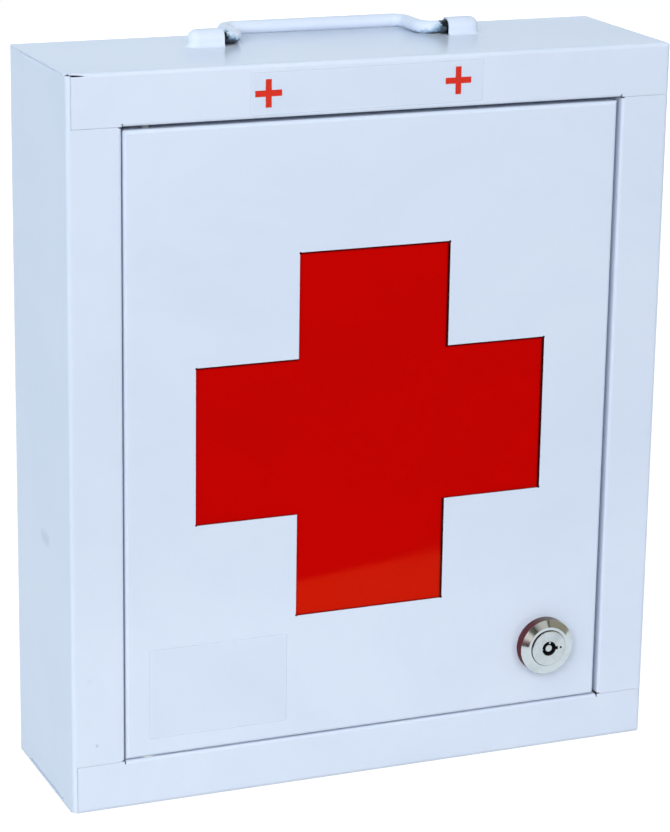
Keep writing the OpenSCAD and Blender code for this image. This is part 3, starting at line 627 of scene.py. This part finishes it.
def plug_painted_shade(tree, place, tone):
    """Near-black painted shade in the keyway, in the index dimple and in the groove round the plug's
    proud edge. Returns the new tone and the mask of the painted shade."""
    spot = place_group(tree, LOCK_PLACE, place=place)
    near_mark = math_node(tree, "LESS_THAN", spot["Mark"], MARK_RADIUS)
    mark_sunk = math_node(tree, "GREATER_THAN", spot["Depth"], MARK_SUNK)
    in_mark = math_node(tree, "MULTIPLY", near_mark, mark_sunk)
    near_key = math_node(tree, "LESS_THAN", spot["Radius"], KEYWAY_SHADE_RADIUS)
    key_sunk = math_node(tree, "GREATER_THAN", spot["Depth"], KEYWAY_SHADE_SUNK)
    in_key = math_node(tree, "MULTIPLY", near_key, key_sunk)
    on_edge = math_node(tree, "GREATER_THAN", spot["Radius"], PLUG_EDGE_RADIUS)
    mask = math_node(tree, "MAXIMUM", math_node(tree, "MAXIMUM", in_mark, in_key), on_edge)
    return mix_colour(tree, mask, tone, PLUG_SHADE), mask


FINISHES = {
    "white_paint": powder_coat("white_powder_coat"),
    "red_window": red_acrylic(),
    "chrome_plate": plated("bright_chrome", CHROME, roughness=0.07, grain=0.05),
    "zinc_plate": plated("zinc_plate", ZINC, roughness=0.28, grain=0.25),
    "nylon": natural_nylon(),
}
OWN_FINISHES = {
    "carry_handle": powder_coat("handle_powder_coat", handle_wear_and_shade),
    "door_panel": powder_coat("door_powder_coat", cross_cut_edge_shade, DOOR_EDGE_RADIUS),
    "left_side_panel": powder_coat("side_powder_coat", side_marks),
    "lock_barrel": plated("bezel_chrome", CHROME, roughness=0.06, grain=0.05, marks=bezel_painted_reflections),
    "lock_plug": plated("plug_chrome", CHROME, roughness=0.22, grain=0.12, marks=plug_painted_shade),
}
LABEL_FILM = label_film()
LABEL_INK = label_ink()


def dress_cad_nodes():
    """Give every CAD node its own finish, or else the finish of its slot."""
    for part in frame["record"]["subparts"]:
        obj = nodes[part["node"]]
        finish = OWN_FINISHES.get(part["node"], FINISHES[part["material_slot"]])
        obj.data.materials.clear()
        obj.data.materials.append(finish)


dress_cad_nodes()

# ---- Labels ----

FILM_THICK = 0.08 * MM
FILM_LIFT = 0.02 * MM
FILM_CORNER_SEGMENTS = 4
HEADER_FILM_Y = FRONT_Y - FILM_LIFT
INK_THICK = 0.03 * MM
INK_Y = HEADER_FILM_Y - FILM_THICK - FILM_LIFT / 2
LABEL_TILT = 0.4
PLUS_SIZE = 11.2 * MM
PLUS_STROKE = 2.5 * MM
# The name, X and Z of each printed plus sign
PLUS_SIGNS = [
    ("header_plus_left", -47.4 * MM, 293.4 * MM),
    ("header_plus_right", 34.0 * MM, 294.3 * MM),
]


def choose(obj, kind, test):
    """In edit mode, select only the "verts" or the "faces" whose middle passes the test."""
    mesh = bmesh.from_edit_mesh(obj.data)
    for part in (mesh.verts, mesh.edges, mesh.faces):
        for element in part:
            element.select_set(False)
    by_vertex = kind == "verts"
    mesh.select_mode = {"VERT" if by_vertex else "FACE"}
    for element in getattr(mesh, kind):
        if test(element.co if by_vertex else element.calc_center_median()):
            element.select_set(True)
    mesh.select_flush_mode()
    bmesh.update_edit_mesh(obj.data)


def upright_grid(name, middle, width, height, divisions):
    """A flat grid that stands in X and Z and faces the front, ready to be edited."""
    bpy.ops.object.select_all(action="DESELECT")
    bpy.ops.mesh.primitive_grid_add(x_subdivisions=divisions, y_subdivisions=divisions, size=1)
    obj = bpy.context.object
    obj.name = name
    obj.data.name = name
    obj.scale = (width, height, 1)
    obj.rotation_euler = (math.radians(90), 0, 0)
    settle(obj)
    obj.location = middle
    only(obj)
    return obj


def finish_flat(obj, thickness, tilt, finish):
    """Thicken a flat piece towards the front, tilt it by some degrees in its plane and paint it."""
    only(obj)
    wall = obj.modifiers.new("wall", "SOLIDIFY")
    wall.thickness = thickness
    wall.offset = 1
    bpy.ops.object.modifier_apply(modifier=wall.name)
    obj.rotation_euler = (0, math.radians(-tilt), 0)
    settle(obj)
    obj.data.materials.append(finish)


def film_label(name, body, middle, width, height, corner, tilt):
    """A rectangle of clear film with clipped round corners."""
    obj = upright_grid(name, middle, width, height, 1)
    bpy.ops.object.mode_set(mode="EDIT")
    bpy.ops.mesh.select_all(action="SELECT")
    bpy.ops.mesh.bevel(offset=corner, segments=FILM_CORNER_SEGMENTS, affect="VERTICES")
    bpy.ops.object.mode_set(mode="OBJECT")
    finish_flat(obj, FILM_THICK, tilt, LABEL_FILM)
    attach(obj, body)


def plus_sign(name, middle, size, stroke, tilt):
    """A printed plus sign: a grid of three by three with its corner faces taken out."""
    obj = upright_grid(name, middle, size, size, 3)
    bpy.ops.object.mode_set(mode="EDIT")
    inner = size / 3
    for axis in (0, 2):
        choose(obj, "verts", lambda v: abs(v[axis]) < inner)
        squeeze = [1, 1, 1]
        squeeze[axis] = stroke / inner
        bpy.ops.transform.resize(value=squeeze, center_override=tuple(middle))
    limit = stroke / 2
    choose(obj, "faces", lambda f: abs(f.x) > limit and abs(f.z) > limit)
    bpy.ops.mesh.delete(type="FACE")
    bpy.ops.object.mode_set(mode="OBJECT")
    finish_flat(obj, INK_THICK, tilt, LABEL_INK)
    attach(obj, "cabinet")


def labels():
    """The header's clear label with its two red plus signs, and the clear label on the door."""
    film_label(
        "header_label",
        "cabinet",
        middle=(-5 * MM, HEADER_FILM_Y, 293.6 * MM),
        width=100 * MM,
        height=17 * MM,
        corner=0.5 * MM,
        tilt=LABEL_TILT,
    )
    for name, x, z in PLUS_SIGNS:
        plus_sign(name, (x, INK_Y, z), PLUS_SIZE, PLUS_STROKE, LABEL_TILT)
    film_label(
        "door_label",
        "door",
        middle=(-67 * MM, DOOR_Y - FILM_LIFT, 47.9 * MM),
        width=60 * MM,
        height=38.6 * MM,
        corner=0.8 * MM,
        tilt=0,
    )


labels()

# ---- Stage ----

WHITE = (1.0, 1.0, 1.0)

# The floor ends in front of the cabinet at FLOOR_EDGE in Y, along an edge that slants
FLOOR_EDGE = -0.255
FLOOR_SLANT = 0.23
FLOOR_REACH = 2.0
FLOOR_Z = -0.2 * MM
FLOOR_PAPER = grey(0.62)
FLOOR_SHADOW_SIDE = grey(0.20)
FLOOR_GLOW = 0.92
FLOOR_IN_GLOSS = (0.74, 0.86, 0.95)

SOFT_LIGHT = (0.335, 0.385, 0.435)
BEHIND_TONE = (0.78, 0.89, 1.0)
BEHIND_FADE = [(0.42, 0.0), (0.62, 1.0)]
# What gloss sees above the floor, by the compass: degrees right of straight ahead, and the tone
ROOM = [
    (-40, (0.10, 0.03, 0.03)),
    (-28, (0.10, 0.03, 0.03)),
    (-26, (1.0, 1.0, 1.0)),
    (-20, (1.0, 1.0, 1.0)),
    (-17, (0.10, 0.12, 0.10)),
    (-11, (0.12, 0.13, 0.11)),
    (-8, (0.03, 0.03, 0.03)),
    (-4, (0.32, 0.32, 0.31)),
    (6, (0.60, 0.62, 0.60)),
    (25, (0.62, 0.64, 0.62)),
    (30, (0.06, 0.06, 0.06)),
    (35, (0.33, 0.32, 0.25)),
    (72, (0.33, 0.32, 0.25)),
    (80, (0.95, 1.0, 1.0)),
]
BELOW_ROOM = -0.14
BELOW_TONE = grey(0.035)

# Name, place, width and height, watts, tint, and whether gloss shows the lamp
LAMPS = [
    ("key_softbox", (-1.15, -1.45, 1.15), (1.5, 1.5), 27.8, WHITE, False),
    ("front_softbox", (0.5, -1.9, 0.9), (1.2, 1.0), 8.5, WHITE, False),
    ("sky_softbox", (-1.7, -0.2, 1.3), (1.2, 1.2), 3.6, (0.50, 0.9, 1.2), True),
    ("back_softbox", (0.7, 1.9, 0.55), (1.4, 0.8), 22.0, WHITE, False),
]
LAMP_TARGET = Vector((0, 0, 0.15))

# The photograph's camera, fitted to the case's corners; angles in degrees, the lens in mm
CAMERA_PLACE = Vector((-0.4600, -1.1065, 0.4990))
CAMERA_TURN = 22.50
CAMERA_TILT = 16.373
CAMERA_ROLL = 0.897
CAMERA_LENS = 128.15
CAMERA_SENSOR = 36
CAMERA_CLIP = (0.05, 50)


def rays(tree, *kinds):
    """1 for rays of any of these kinds, 0 for all others."""
    given = add(tree, "ShaderNodeLightPath").outputs
    share = given[kinds[0]]
    for kind in kinds[1:]:
        share = math_node(tree, "MAXIMUM", share, given[kind])
    return share


def floor_paper():
    """White paper: a plain diffuse sheet to the light that falls on things, and a bright one that
    keeps the shadow to the camera, in gloss and through clear film."""
    mat, tree, shader = new_material("floor_paper")
    feed(tree, shader.inputs["Base Color"], FLOOR_PAPER)
    feed(tree, shader.inputs["Roughness"], 0.9)
    feed(tree, shader.inputs["Specular IOR Level"], 0.0)
    shadow_side = add(tree, "ShaderNodeBsdfDiffuse")
    feed(tree, shadow_side.inputs["Color"], FLOOR_SHADOW_SIDE)
    glow = add(tree, "ShaderNodeEmission")
    glow_tone = mix_colour(tree, rays(tree, "Is Glossy Ray"), WHITE, FLOOR_IN_GLOSS)
    feed(tree, glow.inputs["Color"], glow_tone)
    feed(tree, glow.inputs["Strength"], FLOOR_GLOW)
    paper = add(tree, "ShaderNodeAddShader")
    tree.links.new(shadow_side.outputs[0], paper.inputs[0])
    tree.links.new(glow.outputs[0], paper.inputs[1])
    seen = rays(tree, "Is Camera Ray", "Is Transmission Ray", "Is Glossy Ray")
    chosen = add(tree, "ShaderNodeMixShader")
    tree.links.new(seen, chosen.inputs[0])
    tree.links.new(shader.outputs[0], chosen.inputs[1])
    tree.links.new(paper.outputs[0], chosen.inputs[2])
    tree.links.new(chosen.outputs[0], tree.nodes["Material Output"].inputs["Surface"])
    return mat


def paper_floor():
    """A white paper floor that ends a little in front of the cabinet, along a slanting edge."""
    bpy.ops.object.select_all(action="DESELECT")
    bpy.ops.mesh.primitive_plane_add(size=2 * FLOOR_REACH, location=(0, 0, FLOOR_Z))
    floor = bpy.context.object
    floor.name = "paper_floor"
    bpy.ops.object.mode_set(mode="EDIT")
    choose(floor, "verts", lambda v: v.y < 0)
    bpy.ops.transform.translate(value=(0, FLOOR_REACH + FLOOR_EDGE, 0))
    for side in (-1, 1):
        choose(floor, "verts", lambda v: v.y < FLOOR_REACH / 2 and v.x * side > 0)
        bpy.ops.transform.translate(value=(0, -side * FLOOR_SLANT * FLOOR_REACH, 0))
    bpy.ops.object.mode_set(mode="OBJECT")
    settle(floor)
    floor.data.materials.append(floor_paper())


def studio_world():
    """White to the camera and behind the cabinet; a dim room in front of it; soft light all round."""
    world = bpy.data.worlds.new("studio")
    bpy.context.scene.world = world
    world.use_nodes = True
    tree = world.node_tree
    tree.nodes.clear()
    direction = axes(tree, add(tree, "ShaderNodeTexCoord").outputs["Generated"])
    behind = ramp(tree, math_node(tree, "ADD", direction["Y"], 0.5), BEHIND_FADE)
    ahead = math_node(tree, "MULTIPLY", direction["Y"], -1.0)
    around = turn_share(tree, direction["X"], ahead)
    walls = ramp(tree, around, [(degrees / 360 + 0.5, tone) for degrees, tone in ROOM])
    below = math_node(tree, "LESS_THAN", direction["Z"], BELOW_ROOM)
    gloss = mix_colour(tree, behind, mix_colour(tree, below, walls, BELOW_TONE), BEHIND_TONE)
    seen = mix_colour(tree, rays(tree, "Is Glossy Ray"), SOFT_LIGHT, gloss)
    to_camera = rays(tree, "Is Camera Ray", "Is Transmission Ray")
    background = add(tree, "ShaderNodeBackground")
    feed(tree, background.inputs["Color"], mix_colour(tree, to_camera, seen, WHITE))
    output = add(tree, "ShaderNodeOutputWorld")
    tree.links.new(background.outputs[0], output.inputs["Surface"])


def lights():
    """Rectangular lamps that face the middle of the cabinet."""
    for name, place, size, watts, tint, in_gloss in LAMPS:
        data = bpy.data.lights.new(name, "AREA")
        data.shape = "RECTANGLE"
        data.size, data.size_y = size
        data.energy = watts
        data.color = tint
        lamp = bpy.data.objects.new(name, data)
        bpy.context.scene.collection.objects.link(lamp)
        lamp.location = place
        lamp.visible_glossy = in_gloss
        facing = LAMP_TARGET - Vector(place)
        lamp.rotation_euler = facing.to_track_quat("-Z", "Y").to_euler()


def camera():
    """The photograph's camera: place, then turn, tilt and roll about its own view axis."""
    data = bpy.data.cameras.new("camera")
    data.sensor_fit = "AUTO"
    data.sensor_width = CAMERA_SENSOR
    data.lens = CAMERA_LENS
    data.clip_start, data.clip_end = CAMERA_CLIP
    obj = bpy.data.objects.new("camera", data)
    bpy.context.scene.collection.objects.link(obj)
    turn = Matrix.Rotation(math.radians(-CAMERA_TURN), 4, "Z")
    tilt = Matrix.Rotation(math.radians(90 - CAMERA_TILT), 4, "X")
    roll = Matrix.Rotation(math.radians(CAMERA_ROLL), 4, "Z")
    obj.matrix_world = Matrix.Translation(CAMERA_PLACE) @ turn @ tilt @ roll
    bpy.context.scene.camera = obj


paper_floor()
studio_world()
lights()
camera()
bpy.context.scene.view_settings.view_transform = "Standard"
